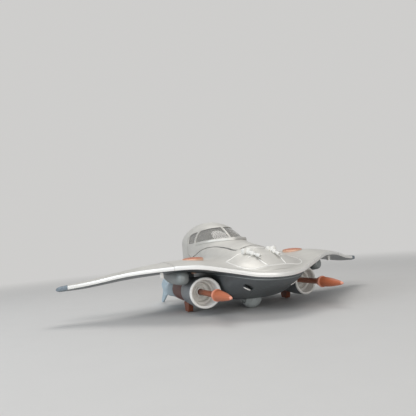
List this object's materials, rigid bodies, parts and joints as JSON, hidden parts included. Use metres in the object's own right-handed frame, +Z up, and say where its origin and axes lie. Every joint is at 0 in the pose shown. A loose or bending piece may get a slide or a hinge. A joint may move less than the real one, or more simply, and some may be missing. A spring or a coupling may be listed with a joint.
{
  "type": "toy airplane",
  "caption": "Blended-wing toy craft with an opening canopy, plug-in outer wings, missile launchers in round intakes, fire buttons and a nose wheel.",
  "frame": {"origin": "on the ground, at the middle of the part's length and width", "axes": "+Z up, the nose points along -Y, the left wing lies along +X"},
  "size_m": [0.42, 0.244, 0.1078],
  "materials": {
    "silver_body": "silver-grey metallic plastic, satin",
    "dark_hull": "dark grey plastic",
    "tip_blue_grey": "blue-grey plastic",
    "cowl_grey": "mid-grey plastic",
    "intake_white": "white-silver plastic",
    "missile_orange": "burnt orange plastic",
    "launcher_brown": "dark red-brown plastic",
    "tail_pale_blue": "pale blue-grey plastic",
    "clear_smoke": "clear smoky plastic",
    "cockpit_grey": "dark grey plastic",
    "wheel_grey": "grey ribbed plastic",
    "steel": "plain steel"
  },
  "bodies": {
    "airframe": {"wing_deck": "silver_body", "nose_deck": "silver_body", "rear_fairing": "silver_body", "lower_hull": "dark_hull", "wing_belly": "dark_hull", "left_pylon": "dark_hull", "right_pylon": "dark_hull", "left_wing_fairing": "dark_hull", "right_wing_fairing": "dark_hull", "left_wing_rib": "dark_hull", "right_wing_rib": "dark_hull", "left_cowl": "cowl_grey", "right_cowl": "cowl_grey", "left_intake_dish": "intake_white", "right_intake_dish": "intake_white", "left_deck_gun": "intake_white", "right_deck_gun": "intake_white", "left_launcher_barrel": "launcher_brown", "right_launcher_barrel": "launcher_brown", "left_landing_foot": "launcher_brown", "right_landing_foot": "launcher_brown", "left_tail_fin": "tail_pale_blue", "right_tail_fin": "tail_pale_blue", "cockpit_tub": "cockpit_grey", "pilot_seat": "cockpit_grey", "instrument_panel": "cockpit_grey", "control_stick": "cockpit_grey", "canopy_hinge_pin": "steel", "wheel_axle": "steel", "case_screws": "steel", "left_launch_spring": "steel", "right_launch_spring": "steel", "left_button_spring": "steel", "right_button_spring": "steel"},
    "canopy": {"canopy_frame": "silver_body", "windscreen": "clear_smoke", "left_quarter_window": "clear_smoke", "right_quarter_window": "clear_smoke"},
    "nose_wheel": {"nose_wheel": "wheel_grey"},
    "left_outer_wing": {"left_wing_top": "silver_body", "left_wing_bottom": "dark_hull", "left_wing_spar": "dark_hull", "left_tip_cap": "tip_blue_grey"},
    "left_tab": {"left_release_tab": "intake_white"},
    "left_missile": {"left_missile": "missile_orange"},
    "left_button": {"left_fire_button": "missile_orange"},
    "right_outer_wing": {"right_wing_top": "silver_body", "right_wing_bottom": "dark_hull", "right_wing_spar": "dark_hull", "right_tip_cap": "tip_blue_grey"},
    "right_tab": {"right_release_tab": "intake_white"},
    "right_missile": {"right_missile": "missile_orange"},
    "right_button": {"right_fire_button": "missile_orange"}
  },
  "joints": [
    {"name": "canopy_hinge", "type": "hinge", "parent": "airframe", "child": "canopy", "pos_m": [0, -0.05, 0.0696], "axis": [1, 0, 0], "range_deg": [0, 60]},
    {"name": "nose_wheel_spin", "type": "hinge", "parent": "airframe", "child": "nose_wheel", "pos_m": [0, -0.036, 0.012], "axis": [1, 0, 0], "continuous": true},
    {"name": "left_wing_pull", "type": "slide", "parent": "airframe", "child": "left_outer_wing", "axis": [1, 0, 0], "range_m": [0, 0.02]},
    {"name": "left_tab_slide", "type": "slide", "parent": "left_outer_wing", "child": "left_tab", "axis": [0, 1, 0], "range_m": [0, 0.0015], "stiffness_N_per_m": 200},
    {"name": "left_missile_slide", "type": "slide", "parent": "airframe", "child": "left_missile", "axis": [0, -1, 0], "range_m": [0, 0.05]},
    {"name": "left_button_press", "type": "slide", "parent": "airframe", "child": "left_button", "axis": [0, 0, -1], "range_m": [0, 0.002], "stiffness_N_per_m": 400, "deforming": ["left_button_spring"]},
    {"name": "right_wing_pull", "type": "slide", "parent": "airframe", "child": "right_outer_wing", "axis": [-1, 0, 0], "range_m": [0, 0.02]},
    {"name": "right_tab_slide", "type": "slide", "parent": "right_outer_wing", "child": "right_tab", "axis": [0, 1, 0], "range_m": [0, 0.0015], "stiffness_N_per_m": 200},
    {"name": "right_missile_slide", "type": "slide", "parent": "airframe", "child": "right_missile", "axis": [0, -1, 0], "range_m": [0, 0.05]},
    {"name": "right_button_press", "type": "slide", "parent": "airframe", "child": "right_button", "axis": [0, 0, -1], "range_m": [0, 0.002], "stiffness_N_per_m": 400, "deforming": ["right_button_spring"]}
  ]
}
